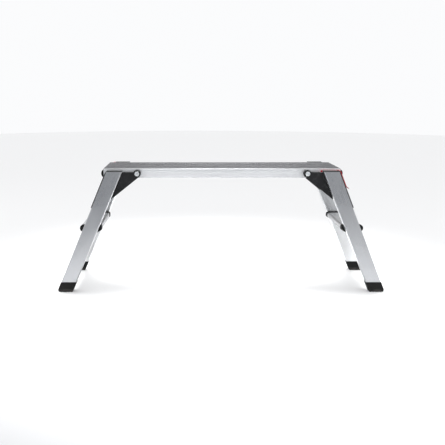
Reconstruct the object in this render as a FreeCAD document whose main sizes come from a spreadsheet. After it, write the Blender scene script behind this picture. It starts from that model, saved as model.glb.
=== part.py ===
"""Folding aluminium work platform: a ribbed deck on two side rails, with a folding leg frame at each end.

Row frame: X along the deck, Y across it, Z up, millimetres, origin on the floor under the deck's centre.
Each leg frame is drawn once, as the right-hand frame; the left-hand one is the same frame turned half
a turn about Z, as the makers assemble it.
"""
import FreeCAD, Part
import math
import os

Vector = FreeCAD.Vector
Rotation = FreeCAD.Rotation
Placement = FreeCAD.Placement

# ---------------------------------------------------------------- driving dimensions (millimetres, degrees)
DIMENSIONS = {
    "deck_height": 500.0, "deck_length": 940.0, "deck_width": 196.0,
    "rail_height": 37.5, "rail_wall": 2.5, "rail_flange": 28.0, "rail_lip": 4.5, "rail_ledge": 12.0,
    "lip_thickness": 2.2, "ledge_thickness": 1.2,
    "plank_count": 3, "plank_depth": 10.0, "plank_gap": 0.2, "plank_wall": 2.0, "plank_floor": 1.6,
    "plank_skin": 3.0, "tongue_reach": 1.8, "tongue_height": 7.0,
    "rib_pitch": 5.2, "rib_width": 2.4, "rib_rise": 1.1, "rib_slope": 0.4,
    "member_width": 40.0, "member_wall": 2.0, "member_length": 167.0, "member_pitch": 212.0,
    "member_rivet_inset": 21.5, "member_rivet_spread": 12.0,
    "end_cap_bulge": 9.3, "plug_length": 22.0,
    "leg_inner_foot": 608.5, "leg_rake": 0.44, "leg_width": 61.0, "leg_depth": 25.0, "leg_wall": 2.2,
    "leg_outer_face": 149.0, "leg_top": 494.0, "leg_bottom": 6.0, "leg_corner": 3.0,
    "foot_height": 42.0, "foot_wall": 1.0,
    "foot_rib_pitch": 6.0, "foot_rib_height": 2.6, "foot_rib_rise": 0.5,
    "top_cap_rise": 2.5, "top_cap_plug": 14.0,
    "pivot_x": 336.0, "pivot_z": 482.0, "boss_radius": 14.5, "bush_radius": 7.0, "bush_bore": 5.05,
    "bracket_inner": 99.2, "bracket_outer": 118.0, "bracket_rim": 1.6,
    "bracket_bottom": 379.5, "bracket_top": 487.5, "bracket_reach": 14.0, "bracket_frame": 5.0,
    "shoulder_radius": 5.0, "thread_radius": 4.0, "bolt_flats": 17.0, "bolt_head": 6.0,
    "nut_flats": 13.0, "nut_height": 6.5, "washer_radius": 12.0, "washer_thickness": 1.1,
    "tread_top": 276.0, "tread_cap_depth": 18.0, "tread_cap_wall": 1.8, "tread_end_wall": 3.0,
    "tread_wall": 2.2, "tread_screw_radius": 3.0,
    "brace_bottom": 352.0, "brace_sheet": 3.0, "brace_flange_top": 460.4, "brace_flange_depth": 24.0,
    "lock_sheet": 2.6, "lock_travel": 8.0, "lever_tip": 428.0, "lever_bottom": 436.0, "lever_top": 497.4,
    "striker_radius": 5.0, "striker_shank": 3.0, "striker_x": 400.0, "striker_z": 480.0, "striker_tip": 110.0,
    "cheek_inner": 113.0, "cheek_outer": 116.0, "guide_pin_radius": 2.5, "spring_radius": 4.2,
    "spring_wire": 0.55, "spring_turns": 6, "rivet_radius": 2.0, "rivet_head": 4.0, "rivet_clearance": 0.05,
    "stop_pad_x": 452.0, "stop_pad_y": 85.0,
}

doc = FreeCAD.newDocument("WorkPlatform")
sheet = doc.addObject("Spreadsheet::Sheet", "Dimensions")
for row, (alias, value) in enumerate(DIMENSIONS.items(), start=1):
    sheet.set("A%d" % row, alias)
    sheet.set("B%d" % row, repr(value))
    sheet.setAlias("B%d" % row, alias)
doc.recompute()


def dim(alias):
    """Value of one cell of the sheet."""
    return float(getattr(sheet, alias))


SUBPARTS = []
HALF_TURN = Placement(Vector(0, 0, 0), Rotation(Vector(0, 0, 1), 180))
DECK_TOP = dim("deck_height")
DECK_SIDE = dim("deck_width") / 2
RAIL_BOTTOM = DECK_TOP - dim("rail_height")
PLANK_BOTTOM = DECK_TOP - dim("plank_depth")
HALF_LENGTH = dim("deck_length") / 2
LEG_OUTER = dim("leg_outer_face")
LEG_INNER = LEG_OUTER - dim("leg_depth")
LEG_MIDDLE = (LEG_OUTER + LEG_INNER) / 2
RAKE = math.atan(dim("leg_rake"))
PIVOT = (dim("pivot_x"), dim("pivot_z"))
FLANGE_TOP = RAIL_BOTTOM + dim("rail_wall")
RIVET_HOLE = dim("rivet_radius") + dim("rivet_clearance")
MEMBER_CENTRES = [dim("member_pitch") * step for step in (-2, -1, 0, 1, 2)]
MEMBER_RIVET_Y = DECK_SIDE - dim("member_rivet_inset")
MEMBER_RIVET_X = (-dim("member_rivet_spread"), dim("member_rivet_spread"))


# ---------------------------------------------------------------- outlines
def inner_edge(height, shift=0.0):
    """Point on the line of a right-hand leg's inner edge, moved outward by shift."""
    return (dim("leg_inner_foot") - dim("leg_rake") * height + shift, height)


def outer_edge(height, shift=0.0):
    """Point on the line of a right-hand leg's outer edge, moved outward by shift."""
    return inner_edge(height, dim("leg_width") + shift)


def rounded(corners):
    """Edges of a closed outline. A corner is (x, y) or (x, y, radius), the radius being that of its arc."""
    points = [Vector(corner[0], corner[1], 0) for corner in corners]
    radii = [corner[2] if len(corner) > 2 else 0.0 for corner in corners]
    starts, ends, arcs = [], [], []
    for index, (point, radius) in enumerate(zip(points, radii)):
        before = (points[index - 1] - point).normalize()
        after = (points[(index + 1) % len(points)] - point).normalize()
        if radius <= 0:
            starts.append(point)
            ends.append(point)
            arcs.append(None)
            continue
        half = before.getAngle(after) / 2
        bisector = (before + after).normalize()
        reach = radius / math.tan(half)
        middle = point + bisector * (radius / math.sin(half) - radius)
        starts.append(point + before * reach)
        ends.append(point + after * reach)
        arcs.append(Part.Arc(starts[-1], middle, ends[-1]))
    edges = []
    for index, arc in enumerate(arcs):
        if arc is not None:
            edges.append(arc)
        edges.append(Part.LineSegment(ends[index], starts[(index + 1) % len(points)]))
    return edges


def circle(x, y, radius):
    """One full circle, as an outline."""
    return [Part.Circle(Vector(x, y, 0), Vector(0, 0, 1), radius)]


def rectangle(low_x, low_y, high_x, high_y):
    """Corners of an upright rectangle."""
    return [(low_x, low_y), (high_x, low_y), (high_x, high_y), (low_x, high_y)]


def inset(corners, distance):
    """Corners of a convex outline, listed clockwise, moved inward by distance, its radii cut to match."""
    moved = []
    count = len(corners)
    for index in range(count):
        before = Vector(*corners[index - 1][:2], 0)
        here = Vector(*corners[index][:2], 0)
        after = Vector(*corners[(index + 1) % count][:2], 0)
        first = (here - before).normalize()
        second = (after - here).normalize()
        first_normal = Vector(first.y, -first.x, 0)
        second_normal = Vector(second.y, -second.x, 0)
        bisector = first_normal + second_normal
        step = bisector * (2 * distance / bisector.dot(bisector))
        point = here + step
        radius = max(corners[index][2] - distance, 0.0) if len(corners[index]) > 2 else 0.0
        moved.append((point.x, point.y, radius))
    return moved


# ---------------------------------------------------------------- PartDesign helpers
def new_body(label, placement=None):
    """Empty body that will become one sub-part."""
    body = doc.addObject("PartDesign::Body", label)
    body.Label = label
    if placement is not None:
        body.Placement = placement
    SUBPARTS.append(body)
    return body


def add_sketch(body, role, outlines, offset=0.0, tilt=0.0):
    """Sketch of closed outlines on an origin plane, offset along its normal and tilted about its X axis."""
    plane = next(item for item in body.Origin.OriginFeatures if item.Role == role)
    sketch = body.newObject("Sketcher::SketchObject", body.Label + "_sketch")
    sketch.AttachmentSupport = [(plane, "")]
    sketch.MapMode = "FlatFace"
    sketch.AttachmentOffset = Placement(Vector(0, 0, offset), Rotation(Vector(1, 0, 0), tilt))
    for outline in outlines:
        sketch.addGeometry(outline, False)
    return sketch


def add_layer(body, kind, outlines, middle, depth, role="XZ_Plane"):
    """Pad or Pocket of outlines. Its depth is an expression, centred on middle along the plane's axis."""
    direction = -1.0 if role == "XZ_Plane" else 1.0
    sketch = add_sketch(body, role, outlines, direction * middle)
    feature = body.newObject("PartDesign::" + kind, body.Label + "_" + kind.lower())
    feature.Profile = sketch
    feature.Midplane = True
    feature.setExpression("Length", depth)
    doc.recompute()
    return feature


def add_fillet(body, feature, radius, wanted):
    """Fillet of the feature's edges that the wanted test picks."""
    edges = enumerate(feature.Shape.Edges, start=1)
    names = ["Edge%d" % number for number, edge in edges if wanted(edge)]
    fillet = body.newObject("PartDesign::Fillet", body.Label + "_fillet")
    fillet.Base = (feature, names)
    fillet.setExpression("Radius", radius)
    doc.recompute()
    return fillet


def face_pocket(body, centres, radius, depth):
    """Round holes square to the right-hand frame's raked outer face, at (y, height) centres."""
    foot_x = outer_edge(0)[0]
    slope = 1 / math.cos(RAKE)
    outlines = [circle(y, height * slope, radius) for y, height in centres]
    sketch = add_sketch(body, "YZ_Plane", outlines, foot_x, -math.degrees(RAKE))
    pocket = body.newObject("PartDesign::Pocket", body.Label + "_holes")
    pocket.Profile = sketch
    pocket.Midplane = True
    pocket.Length = depth
    doc.recompute()
    return pocket


def group(label, template, places):
    """One sub-part that holds a copy of the template's solid at each place."""
    feature = doc.addObject("Part::Feature", label)
    feature.Label = label
    feature.Shape = Part.makeCompound([template.Shape.transformed(place.toMatrix()) for place in places])
    SUBPARTS.append(feature)
    return feature


def revolved(name, profile):
    """Template fastener turned about Z from (radius, height) points."""
    points = [Vector(radius, 0, height) for radius, height in profile]
    wire = Part.makePolygon(points + [points[0]])
    feature = doc.addObject("Part::Feature", name)
    feature.Shape = Part.Face(wire).revolve(Vector(0, 0, 0), Vector(0, 0, 1), 360)
    return feature


# ---------------------------------------------------------------- side rails
RAIL_GROOVES = (466.0, 473.0, 481.0)
GROOVE_DEPTH, GROOVE_HALF = 0.4, 0.5
BEAD_HEIGHT, BEAD_DEPTH, BEAD_HALF = 492.0, 0.8, 0.4


def side_rail(label, placement):
    """Open-backed rail extrusion: web, top lip, plank ledge, foot flange and fine grooves down its face."""
    face = -DECK_SIDE
    web = face + dim("rail_wall")
    lip = face + dim("rail_lip")
    ledge = face + dim("rail_ledge")
    flange = face + dim("rail_flange")
    ledge_bottom = PLANK_BOTTOM - dim("ledge_thickness")
    lip_bottom = DECK_TOP - dim("lip_thickness")
    corners = [(web, FLANGE_TOP, 0.8), (flange, FLANGE_TOP), (flange, RAIL_BOTTOM), (face, RAIL_BOTTOM, 1.2)]
    for height in RAIL_GROOVES:
        corners += [(face, height - GROOVE_HALF), (face + GROOVE_DEPTH, height), (face, height + GROOVE_HALF)]
    bead = face + BEAD_DEPTH
    corners += [(face, BEAD_HEIGHT - 2 * BEAD_HALF), (bead, BEAD_HEIGHT - BEAD_HALF)]
    corners += [(bead, BEAD_HEIGHT + BEAD_HALF), (face, BEAD_HEIGHT + 2 * BEAD_HALF)]
    corners += [(face, DECK_TOP, 2.0), (lip, DECK_TOP), (lip, lip_bottom), (web, lip_bottom)]
    corners += [(web, PLANK_BOTTOM), (ledge, PLANK_BOTTOM), (ledge, ledge_bottom), (web, ledge_bottom)]
    body = new_body(label, placement)
    add_layer(body, "Pad", [rounded(corners)], 0.0, "Dimensions.deck_length", "YZ_Plane")
    through = "6 * Dimensions.rail_wall"
    bolt_holes = [circle(side * PIVOT[0], PIVOT[1], dim("thread_radius") + 0.1) for side in (-1, 1)]
    add_layer(body, "Pocket", bolt_holes, face, through)
    striker_hole = circle(dim("striker_x"), dim("striker_z"), dim("striker_shank"))
    add_layer(body, "Pocket", [striker_hole], face, through)
    rivet_xs = [x + dx for x in MEMBER_CENTRES for dx in MEMBER_RIVET_X]
    rivet_holes = [circle(x, -MEMBER_RIVET_Y, RIVET_HOLE) for x in rivet_xs]
    add_layer(body, "Pocket", rivet_holes, RAIL_BOTTOM, "3 * Dimensions.rail_wall", "XY_Plane")


side_rail("near_side_rail", None)
side_rail("far_side_rail", HALF_TURN)


# ---------------------------------------------------------------- deck planks
PLANK_SPAN = 2 * (DECK_SIDE - dim("rail_lip") - dim("plank_gap"))
PLANK_PITCH = PLANK_SPAN / dim("plank_count")
PLANK_HALF = (PLANK_PITCH - dim("plank_gap")) / 2


def deck_plank(label, centre):
    """Hollow plank with a ribbed tread face; an outer plank has a tongue that slides under its rail's lip."""
    low, high = centre - PLANK_HALF, centre + PLANK_HALF
    base = DECK_TOP - dim("rib_rise")
    tongue_top = PLANK_BOTTOM + dim("tongue_height")
    rib_count = int((high - low) // dim("rib_pitch"))
    first = centre - dim("rib_pitch") * (rib_count - 1) / 2
    half, slope = dim("rib_width") / 2, dim("rib_slope")
    near_side = [(low, PLANK_BOTTOM), (low, base)]
    if centre < -1:
        tongue = low - dim("tongue_reach")
        near_side = [(tongue, PLANK_BOTTOM), (tongue, tongue_top), (low, tongue_top), (low, base)]
    ribs = []
    for index in range(rib_count):
        middle = first + index * dim("rib_pitch")
        ribs += [(middle - half, base), (middle - half + slope, DECK_TOP)]
        ribs += [(middle + half - slope, DECK_TOP), (middle + half, base)]
    far_side = [(high, base), (high, PLANK_BOTTOM)]
    if centre > 1:
        tongue = high + dim("tongue_reach")
        far_side = [(high, base), (high, tongue_top), (tongue, tongue_top), (tongue, PLANK_BOTTOM)]
    outlines = [rounded(near_side + ribs + far_side)]
    wall = dim("plank_wall")
    chamber = (2 * PLANK_HALF - 5 * wall) / 4
    floor, ceiling = PLANK_BOTTOM + dim("plank_floor"), DECK_TOP - dim("plank_skin")
    for index in range(4):
        left = low + wall + index * (chamber + wall)
        corners = rectangle(left, floor, left + chamber, ceiling)
        outlines.append(rounded([corner + (0.8,) for corner in corners]))
    body = new_body(label)
    add_layer(body, "Pad", outlines, 0.0, "Dimensions.deck_length", "YZ_Plane")


for place, label in ((-1, "near_deck_plank"), (0, "middle_deck_plank"), (1, "far_deck_plank")):
    deck_plank(label, place * PLANK_PITCH)


# ---------------------------------------------------------------- cross members and their rivets
def cross_member(label, centre):
    """Box section that carries the planks between the rails' foot flanges."""
    low = FLANGE_TOP
    half = dim("member_width") / 2
    wall = dim("member_wall")
    outer = [corner + (2.0,) for corner in rectangle(centre - half, low, centre + half, PLANK_BOTTOM)]
    inner_corners = rectangle(centre - half + wall, low + wall, centre + half - wall, PLANK_BOTTOM - wall)
    inner = [corner + (0.8,) for corner in inner_corners]
    body = new_body(label)
    add_layer(body, "Pad", [rounded(outer), rounded(inner)], 0.0, "Dimensions.member_length")
    holes = [circle(centre + dx, side * MEMBER_RIVET_Y, RIVET_HOLE)
             for dx in MEMBER_RIVET_X for side in (-1, 1)]
    add_layer(body, "Pocket", holes, low + wall / 2, "3 * Dimensions.member_wall", "XY_Plane")


MEMBER_LABELS = ("left_end", "left_inner", "centre", "right_inner", "right_end")
for label, centre in zip(MEMBER_LABELS, MEMBER_CENTRES):
    cross_member(label + "_cross_member", centre)

shank, head = dim("rivet_radius"), dim("rivet_head")
tail = 3.0
grip = 4.6
member_rivet = revolved("member_rivet", [
    (0, -1.4), (head * 0.6, -1.3), (head, 0), (shank, 0), (shank, grip), (tail, grip), (tail, 6.0), (0, 6.6)])
member_places = [Placement(Vector(x + dx, side * MEMBER_RIVET_Y, RAIL_BOTTOM), Rotation())
                 for x in MEMBER_CENTRES for dx in MEMBER_RIVET_X for side in (-1, 1)]
group("cross_member_rivets", member_rivet, member_places)


# ---------------------------------------------------------------- moulded deck end caps
def deck_end_cap(label, placement):
    """Rounded bumper across the deck's end, with a plug pushed into each rail."""
    low, high = RAIL_BOTTOM + 1.0, DECK_TOP - 2.8
    bottom, top = Vector(HALF_LENGTH, low, 0), Vector(HALF_LENGTH, high, 0)
    crown = Vector(HALF_LENGTH + dim("end_cap_bulge"), (low + high) / 2, 0)
    body = new_body(label, placement)
    wall = [Part.Arc(bottom, crown, top), Part.LineSegment(top, bottom)]
    add_layer(body, "Pad", [wall], 0.0, "Dimensions.deck_width")
    plug_low, plug_high = FLANGE_TOP + 0.1, PLANK_BOTTOM - 1.5
    inner = DECK_SIDE - dim("rail_flange") + 2
    outer = DECK_SIDE - dim("rail_wall") - 0.1
    plugs = []
    for y_low, y_high in ((-outer, -inner), (inner, outer)):
        corners = rectangle(y_low, plug_low, y_high, plug_high)
        plugs.append(rounded([corner + (1.0,) for corner in corners]))
    plug_middle = HALF_LENGTH - dim("plug_length") / 2 + 0.5
    add_layer(body, "Pad", plugs, plug_middle, "Dimensions.plug_length + 1", "YZ_Plane")


deck_end_cap("right_deck_end_cap", None)
deck_end_cap("left_deck_end_cap", HALF_TURN)


# ---------------------------------------------------------------- pivot bolts, nuts, washers and lock strikers
def cylinder(name, radius, height, bottom):
    """Round template along Z, bound to the sheet."""
    feature = doc.addObject("Part::Cylinder", name)
    feature.setExpression("Radius", radius)
    feature.setExpression("Height", height)
    feature.Placement = Placement(Vector(0, 0, bottom), Rotation())
    return feature


def hexagon(name, flats, height, bottom):
    """Six-sided template along Z, bound to the sheet by its width across flats."""
    feature = doc.addObject("Part::Prism", name)
    feature.Polygon = 6
    feature.setExpression("Circumradius", flats + " / 2 / cos(30)")
    feature.setExpression("Height", height)
    feature.Placement = Placement(Vector(0, 0, bottom), Rotation())
    return feature


HEAD_SEAT = dim("bracket_outer") + 0.2
NUT_SEAT = DECK_SIDE - dim("rail_wall")
bolt_head = hexagon("bolt_hex", "Dimensions.bolt_flats", "Dimensions.bolt_head", HEAD_SEAT)
head_cone = doc.addObject("Part::Cone", "bolt_chamfer")
head_cone.setExpression("Radius1", "Dimensions.bolt_flats / 2 + 6.4")
head_cone.setExpression("Radius2", "Dimensions.bolt_flats / 2 - 0.6")
head_cone.setExpression("Height", "Dimensions.bolt_head + 0.05")
head_cone.Placement = Placement(Vector(0, 0, HEAD_SEAT), Rotation())
chamfered = doc.addObject("Part::Common", "bolt_head_shape")
chamfered.Base = bolt_head
chamfered.Tool = head_cone
shoulder = cylinder("bolt_shoulder", "Dimensions.shoulder_radius", "%r" % (HEAD_SEAT - DECK_SIDE), DECK_SIDE)
thread = cylinder("bolt_thread", "Dimensions.thread_radius", "Dimensions.rail_wall + 8", NUT_SEAT - 8)
bolt = doc.addObject("Part::MultiFuse", "pivot_bolt")
bolt.Shapes = [chamfered, shoulder, thread]
nut_hex = hexagon("nut_hex", "Dimensions.nut_flats", "Dimensions.nut_height", NUT_SEAT - dim("nut_height"))
nut_bore = cylinder("nut_bore", "Dimensions.thread_radius + 0.02", "10", NUT_SEAT - 8)
nut = doc.addObject("Part::Cut", "pivot_nut")
nut.Base = nut_hex
nut.Tool = nut_bore
washer_disc = cylinder("washer_disc", "Dimensions.washer_radius", "Dimensions.washer_thickness",
                       DECK_SIDE + 0.05)
washer_bore = cylinder("washer_bore", "Dimensions.shoulder_radius + 0.3", "3", DECK_SIDE - 1)
washer = doc.addObject("Part::Cut", "thrust_washer")
washer.Base = washer_disc
washer.Tool = washer_bore
doc.recompute()


def across(x, z, side):
    """Placement that turns a template's Z axis outward across the deck, near side -1 or far side 1."""
    return Placement(Vector(x, 0, z), Rotation(Vector(1, 0, 0), 90 if side < 0 else -90))


pivot_places = [across(end * PIVOT[0], PIVOT[1], side) for end in (-1, 1) for side in (-1, 1)]
group("pivot_bolts", bolt, pivot_places)
group("pivot_nuts", nut, pivot_places)
group("pivot_thrust_washers", washer, pivot_places)

striker_radius, striker_tip = dim("striker_radius"), dim("striker_tip")
striker_neck = dim("striker_shank") - 0.05
striker_tail = 4.5
chamfer = 0.8
striker = revolved("striker", [
    (0, NUT_SEAT - 2.5), (striker_tail, NUT_SEAT - 2.5), (striker_tail, NUT_SEAT), (striker_neck, NUT_SEAT),
    (striker_neck, DECK_SIDE), (striker_radius, DECK_SIDE), (striker_radius, striker_tip - chamfer),
    (striker_radius - chamfer, striker_tip), (0, striker_tip)])
striker_places = [across(-side * dim("striker_x"), dim("striker_z"), side) for side in (-1, 1)]
group("lock_strikers", striker, striker_places)


# ---------------------------------------------------------------- one leg frame
TREAD_TOP = dim("tread_top")
TREAD_FRONT, TREAD_BACK = 481.5, 569.2
TREAD_OUTLINE = [(TREAD_FRONT, TREAD_TOP, 8.0), (TREAD_BACK, TREAD_TOP, 12.6),
                 (TREAD_BACK, TREAD_TOP - 25.8, 12.6), (507.0, TREAD_TOP - 34.5, 4.0),
                 (TREAD_FRONT, TREAD_TOP - 19.5, 3.0)]
TREAD_SCREWS = [(510.0, 261.0), (543.0, 262.5)]
TREAD_RIB_RISE = 0.9
BRACKET_RIVETS = [inner_edge(height, 30) for height in (398.0, 421.0, 444.0)]
BRACE_RIVETS = (368.0, 394.0, 420.0)
GUIDE_PINS = [(431.0, 484.0), (450.0, 480.0)]
SPRING_HEIGHT = 462.0
SPRING_ENDS = (431.0, 449.0)
SPRING_MIDDLE = 106.5


def leg(label, side, turn):
    """Box extrusion with rounded corners, cut level at both ends."""
    low, high = dim("leg_bottom"), dim("leg_top")
    middle = side * LEG_MIDDLE
    body = new_body(label, turn)
    skin = [inner_edge(low), outer_edge(low), outer_edge(high), inner_edge(high)]
    tube = add_layer(body, "Pad", [rounded(skin)], middle, "Dimensions.leg_depth")
    long_edge = (high - low) * 0.9
    add_fillet(body, tube, "Dimensions.leg_corner", lambda edge: edge.Length > long_edge)
    thick = dim("leg_wall") / math.cos(RAKE)
    hollow = [inner_edge(low - 9, thick), outer_edge(low - 9, -thick),
              outer_edge(high + 9, -thick), inner_edge(high + 9, thick)]
    add_layer(body, "Pocket", [rounded(hollow)], middle, "Dimensions.leg_depth - 2 * Dimensions.leg_wall")
    holes = [circle(x, z, RIVET_HOLE) for x, z in BRACKET_RIVETS]
    holes += [circle(x, z, dim("tread_screw_radius") + 0.1) for x, z in TREAD_SCREWS]
    add_layer(body, "Pocket", holes, side * (LEG_INNER + 1), "2 * Dimensions.leg_wall")
    face_pocket(body, [(middle, height) for height in BRACE_RIVETS], RIVET_HOLE, 8.0)


def leg_foot(label, side, turn):
    """Rubber boot with a rounded heel, a grooved sole and gripping ribs round its sides."""
    wall = dim("foot_wall")
    top = dim("foot_height")
    middle = side * LEG_MIDDLE
    body = new_body(label, turn)
    corners = [inner_edge(0, -wall) + (2.0,), outer_edge(0, wall) + (9.0,),
               outer_edge(top, wall), inner_edge(top, -wall)]
    add_layer(body, "Pad", [rounded(corners)], middle, "Dimensions.leg_depth + 2 * Dimensions.foot_wall")
    ribs = []
    proud = wall + dim("foot_rib_rise")
    for step in range(2, int(top // dim("foot_rib_pitch"))):
        low = step * dim("foot_rib_pitch")
        high = low + dim("foot_rib_height")
        band = [inner_edge(low, -proud), outer_edge(low, proud),
                outer_edge(high, proud), inner_edge(high, -proud)]
        ribs.append(rounded(band))
    rib_depth = "Dimensions.leg_depth + 2 * (Dimensions.foot_wall + Dimensions.foot_rib_rise)"
    add_layer(body, "Pad", ribs, middle, rib_depth)
    seat = dim("leg_bottom")
    socket = [inner_edge(seat), outer_edge(seat), outer_edge(top + 5), inner_edge(top + 5)]
    add_layer(body, "Pocket", [rounded(socket)], middle, "Dimensions.leg_depth")
    heel = inner_edge(0)[0]
    grooves = [rounded(rectangle(heel + start, -1, heel + start + 3, 1.8)) for start in (8, 18, 38, 48)]
    add_layer(body, "Pocket", grooves, middle, "2 * Dimensions.leg_depth")


def leg_top_cap(label, side, turn):
    """Moulded plug that closes the leg's upper end."""
    low = dim("leg_top")
    high = low + dim("top_cap_rise")
    thick = dim("leg_wall") / math.cos(RAKE) + 0.1
    body = new_body(label, turn)
    proud = 0.4
    lid = [inner_edge(low, -proud), outer_edge(low, proud),
           outer_edge(high, proud) + (1.2,), inner_edge(high, -proud) + (1.2,)]
    add_layer(body, "Pad", [rounded(lid)], side * LEG_MIDDLE, "Dimensions.leg_depth + 0.6")
    bottom = low - dim("top_cap_plug")
    plug = [inner_edge(bottom, thick), outer_edge(bottom, -thick),
            outer_edge(low + 1, -thick), inner_edge(low + 1, thick)]
    plug_depth = "Dimensions.leg_depth - 2 * Dimensions.leg_wall - 0.2"
    add_layer(body, "Pad", [rounded(plug)], side * LEG_MIDDLE, plug_depth)


def hinge_bracket(label, side, turn, has_lock):
    """Moulded bracket: pivot boss, gusset with a rim and a flange riveted to the leg's inner wall."""
    inner, outer = dim("bracket_inner"), dim("bracket_outer")
    boss = dim("boss_radius")
    middle = side * (inner + outer) / 2
    depth = "Dimensions.bracket_outer - Dimensions.bracket_inner"
    bottom, top, reach = dim("bracket_bottom"), dim("bracket_top"), dim("bracket_reach")
    tip = inner_edge(bottom, -1.0)
    skirt = boss + 1.0
    direction = Vector(tip[0] - PIVOT[0], tip[1] - PIVOT[1], 0)
    heading = math.atan2(direction.y, direction.x) - math.asin(skirt / direction.Length)
    start = (PIVOT[0] + math.sin(heading) * skirt, PIVOT[1] - math.cos(heading) * skirt)
    gusset = [(PIVOT[0] + 6, top, 2.0), inner_edge(top, reach), inner_edge(bottom, reach), tip + (3.0,),
              start, PIVOT]
    body = new_body(label, turn)
    add_layer(body, "Pad", [rounded(gusset)], middle, depth)
    add_layer(body, "Pad", [circle(PIVOT[0], PIVOT[1], boss)], middle, depth)
    flange_low, flange_high = bottom + 4.5, top + 3.5
    flange = [inner_edge(flange_low, 1.5), inner_edge(flange_low, 50), inner_edge(flange_high, 57),
              inner_edge(flange_high, 4), inner_edge(480, 1.5)]
    add_layer(body, "Pad", [rounded(flange)], side * (outer + LEG_INNER) / 2,
              "Dimensions.leg_outer_face - Dimensions.leg_depth - Dimensions.bracket_outer")
    rim = dim("bracket_frame")
    panel_top, panel_bottom = top - rim, 401.0
    panel = [(365.0, panel_top, 2.0), inner_edge(panel_top, -rim) + (2.0,),
             inner_edge(panel_bottom, -rim) + (2.0,), (PIVOT[0] + 26, 454.0, 3.0), (PIVOT[0] + 26, 466.0, 3.0)]
    add_layer(body, "Pocket", [rounded(panel)], side * outer, "2 * Dimensions.bracket_rim")
    ring = circle(PIVOT[0], PIVOT[1], boss + 4.5) + circle(PIVOT[0], PIVOT[1], boss + 2.2)
    add_layer(body, "Pocket", [ring], side * outer, "Dimensions.bracket_rim")
    hollow = [(365.0, panel_top, 3.0), (384.0, panel_top, 3.0), (384.0, 468.0, 3.0), (409.0, 468.0, 3.0),
              inner_edge(panel_bottom, -rim) + (3.0,), (PIVOT[0] + 30, 456.0, 3.0)]
    add_layer(body, "Pocket", [rounded(hollow)], side * inner, "20")
    if has_lock:
        lock_chambers(body, side)
    bush_seat = circle(PIVOT[0], PIVOT[1], dim("bush_radius") + 0.02)
    add_layer(body, "Pocket", [bush_seat], middle, depth + " + 4")
    rivet_holes = [circle(x, z, RIVET_HOLE) for x, z in BRACKET_RIVETS]
    rivet_depth = "2 * (Dimensions.leg_outer_face - Dimensions.leg_depth - 112)"
    add_layer(body, "Pocket", rivet_holes, side * LEG_INNER, rivet_depth)


def lock_chambers(body, side):
    """The striker's path, the cheek's slot, the pins' seats and the spring stop of one bracket."""
    inner, outer = dim("bracket_inner"), dim("bracket_outer")
    path = rectangle(386.0, 471.0, 416.0, 495.0)
    add_layer(body, "Pocket", [rounded(path)], side * inner, "30.4")
    slot = [(402.5, 494.0), (403.0, 488.5), (410.6, 473.4), (423.6, 455.6), (440.0, 455.6), (440.0, 494.0)]
    slot_depth = "2 * (Dimensions.cheek_outer + 0.4 - Dimensions.bracket_inner)"
    add_layer(body, "Pocket", [rounded(slot)], side * inner, slot_depth)
    stop_x = SPRING_ENDS[1]
    spring_stop = rectangle(stop_x, SPRING_HEIGHT - 5.5, stop_x + 3.5, SPRING_HEIGHT + 5)
    add_layer(body, "Pad", [rounded(spring_stop)], side * 109.5, "17")
    pin_holes = [circle(x, z, dim("guide_pin_radius") + 0.02) for x, z in GUIDE_PINS]
    add_layer(body, "Pocket", pin_holes, side * outer, "8")


def tread(label, turn):
    """Hollow step extrusion with a ribbed top and two screw channels."""
    outline = inset(TREAD_OUTLINE, dim("tread_cap_wall"))
    top = outline[0][1]
    crest = top + TREAD_RIB_RISE
    ribs = []
    for index in range(11):
        left = TREAD_FRONT + 12.5 + index * 5.4
        ribs += [(left, top), (left + 0.4, crest), (left + 2.2, crest), (left + 2.6, top)]
    corners = outline[:1] + ribs + outline[1:]
    cavity = inset(outline, dim("tread_wall"))
    body = new_body(label, turn)
    length = "2 * (Dimensions.leg_outer_face - Dimensions.leg_depth - Dimensions.tread_end_wall - 0.1)"
    add_layer(body, "Pad", [rounded(corners)], 0.0, length)
    front_top, back_top, back_low, front_low, nose = cavity
    ceiling = front_top[1]
    slope = (back_low[1] - front_low[1]) / (back_low[0] - front_low[0])
    web = 5.0
    walls = [TREAD_SCREWS[0][0] + web, TREAD_SCREWS[1][0] - web, TREAD_SCREWS[1][0] + web]
    feet = [(x, front_low[1] + slope * (x - front_low[0])) for x in walls]
    first = TREAD_SCREWS[0][0] - web
    chambers = [
        [front_top, (first, ceiling), (first, front_low[1] + 2.5), nose],
        [(walls[0], ceiling), (walls[1], ceiling), feet[1], feet[0]],
        [(walls[2], ceiling), back_top, back_low, feet[2]],
    ]
    add_layer(body, "Pocket", [rounded(chamber) for chamber in chambers], 0.0, length + " + 4")
    channels = [circle(x, z, dim("tread_screw_radius") + 0.02) for x, z in TREAD_SCREWS]
    add_layer(body, "Pocket", channels, 0.0, length + " + 4")


def tread_cap(label, side, turn):
    """Moulded cap sleeved over the step's end."""
    seat = LEG_INNER - 0.1
    depth = dim("tread_cap_depth")
    body = new_body(label, turn)
    add_layer(body, "Pad", [rounded(TREAD_OUTLINE)], side * (seat - depth / 2), "Dimensions.tread_cap_depth")
    sleeve = inset(TREAD_OUTLINE, dim("tread_cap_wall"))
    middle = seat - dim("tread_end_wall") - depth / 2
    room = [TREAD_RIB_RISE if z > TREAD_TOP - 10 else 0.0 for _, z, *_ in sleeve]
    sleeve_top = [(x, z + lift) + tuple(rest) for lift, (x, z, *rest) in zip(room, sleeve)]
    add_layer(body, "Pocket", [rounded(sleeve_top)], side * middle, "Dimensions.tread_cap_depth")
    holes = [circle(x, z, dim("tread_screw_radius") + 0.1) for x, z in TREAD_SCREWS]
    add_layer(body, "Pocket", holes, side * seat, "3 * Dimensions.tread_end_wall")


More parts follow.
